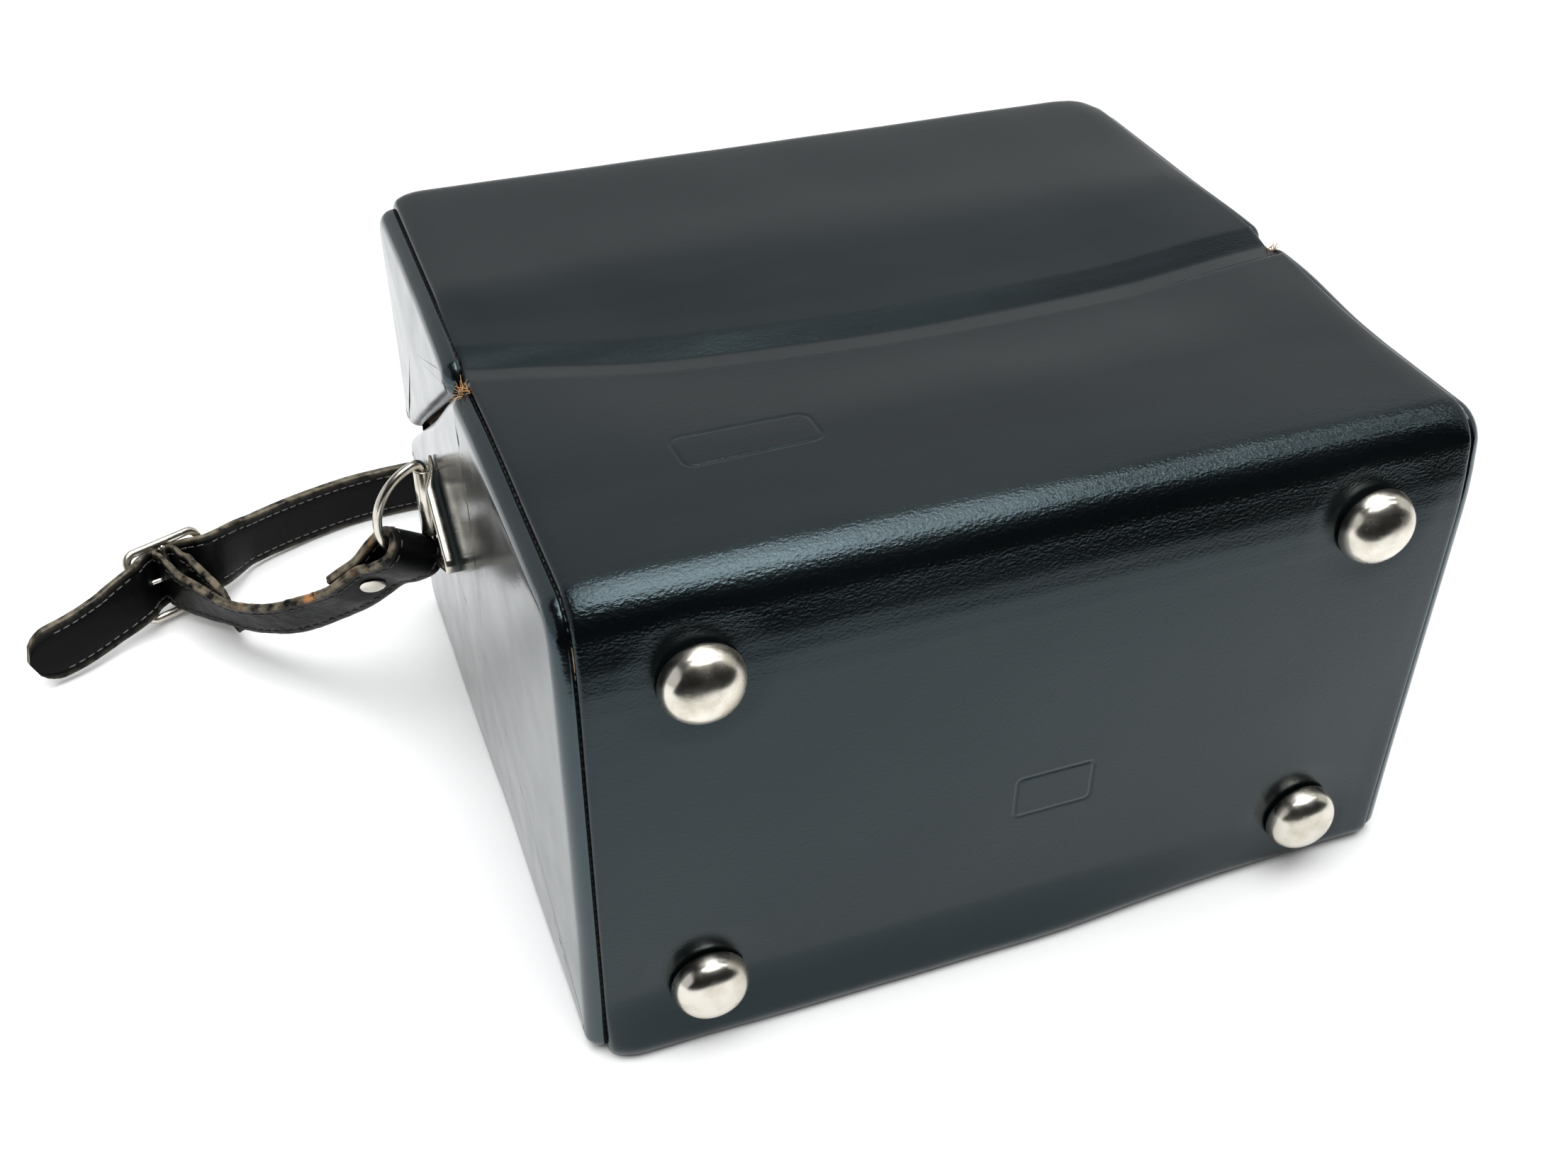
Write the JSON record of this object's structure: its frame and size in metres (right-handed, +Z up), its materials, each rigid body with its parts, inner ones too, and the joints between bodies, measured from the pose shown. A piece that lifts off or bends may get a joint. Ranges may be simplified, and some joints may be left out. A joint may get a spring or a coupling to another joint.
{
  "type": "leather carrying case",
  "caption": "Rigid leather carrying case lying on its front panel, with a wedge-shaped hinged lid, domed feet, D-rings and a buckled carrying strap.",
  "frame": {"origin": "centre of the front panel's outer face, which is the face that the case lies on", "axes": "+Z up from the front panel to the back panel, +X along the width, -Y towards the base with its feet, +Y towards the top"},
  "size_m": [0.3894, 0.2629, 0.1417],
  "materials": {
    "case_leather": "smooth semi-gloss, finely grained",
    "strap_leather": "worn satin, wrinkled",
    "fibre_board": "raw fibre board",
    "lining_cloth": "matt napped cloth",
    "nickel": "worn nickel plate"
  },
  "bodies": {
    "case": {"front_leather": "case_leather", "base_and_back_leather": "case_leather", "base_board": "fibre_board", "front_board": "fibre_board", "top_board": "fibre_board", "back_board": "fibre_board", "body_end_board_right": "fibre_board", "body_end_board_left": "fibre_board", "body_end_cover_right": "case_leather", "body_end_cover_left": "case_leather", "body_lining": "lining_cloth", "foot_back_left": "nickel", "foot_back_right": "nickel", "foot_front_left": "nickel", "foot_front_right": "nickel", "ring_plate_left": "nickel", "plate_rivet_left_lower": "nickel", "plate_rivet_left_upper": "nickel", "ring_plate_right": "nickel", "plate_rivet_right_lower": "nickel", "plate_rivet_right_upper": "nickel", "short_strap": "strap_leather", "long_strap": "strap_leather", "buckle_frame": "nickel", "lock_base_plate": "nickel"},
    "lid": {"lid_leather": "case_leather", "lid_back_board": "fibre_board", "lid_top_board": "fibre_board", "lid_end_board_right": "fibre_board", "lid_end_board_left": "fibre_board", "lid_end_cover_right": "case_leather", "lid_end_cover_left": "case_leather", "lid_lining": "lining_cloth", "lock_tongue": "case_leather", "lock_slot_frame": "nickel"},
    "turn_button": {"lock_turn_button": "nickel"},
    "d_ring_left": {"d_ring_left": "nickel", "short_strap_fold": "strap_leather", "short_strap_rivet": "nickel"},
    "d_ring_right": {"d_ring_right": "nickel", "long_strap_fold": "strap_leather", "long_strap_rivet": "nickel"},
    "prong": {"buckle_prong": "nickel"}
  },
  "joints": [
    {"name": "lid_hinge", "type": "hinge", "parent": "case", "child": "lid", "pos_m": [0, -0.006, 0.136], "axis": [1, 0, 0], "range_deg": [0, 110]},
    {"name": "lock_turn", "type": "hinge", "parent": "case", "child": "turn_button", "pos_m": [0, 0.1, 0.045], "axis": [0, 1, 0], "range_deg": [0, 90]},
    {"name": "d_ring_left_swing", "type": "hinge", "parent": "case", "child": "d_ring_left", "pos_m": [-0.1174, 0.052, 0.0665], "axis": [0, 0, 1], "range_deg": [-35, 15]},
    {"name": "d_ring_right_swing", "type": "hinge", "parent": "case", "child": "d_ring_right", "pos_m": [0.1174, 0.052, 0.0665], "axis": [0, 0, 1], "range_deg": [-35, 20]},
    {"name": "prong_swing", "type": "hinge", "parent": "case", "child": "prong", "pos_m": [-0.1931, 0.1205, 0.0131], "axis": [0.1302, -0.3505, -0.9274], "range_deg": [0, 12]}
  ]
}
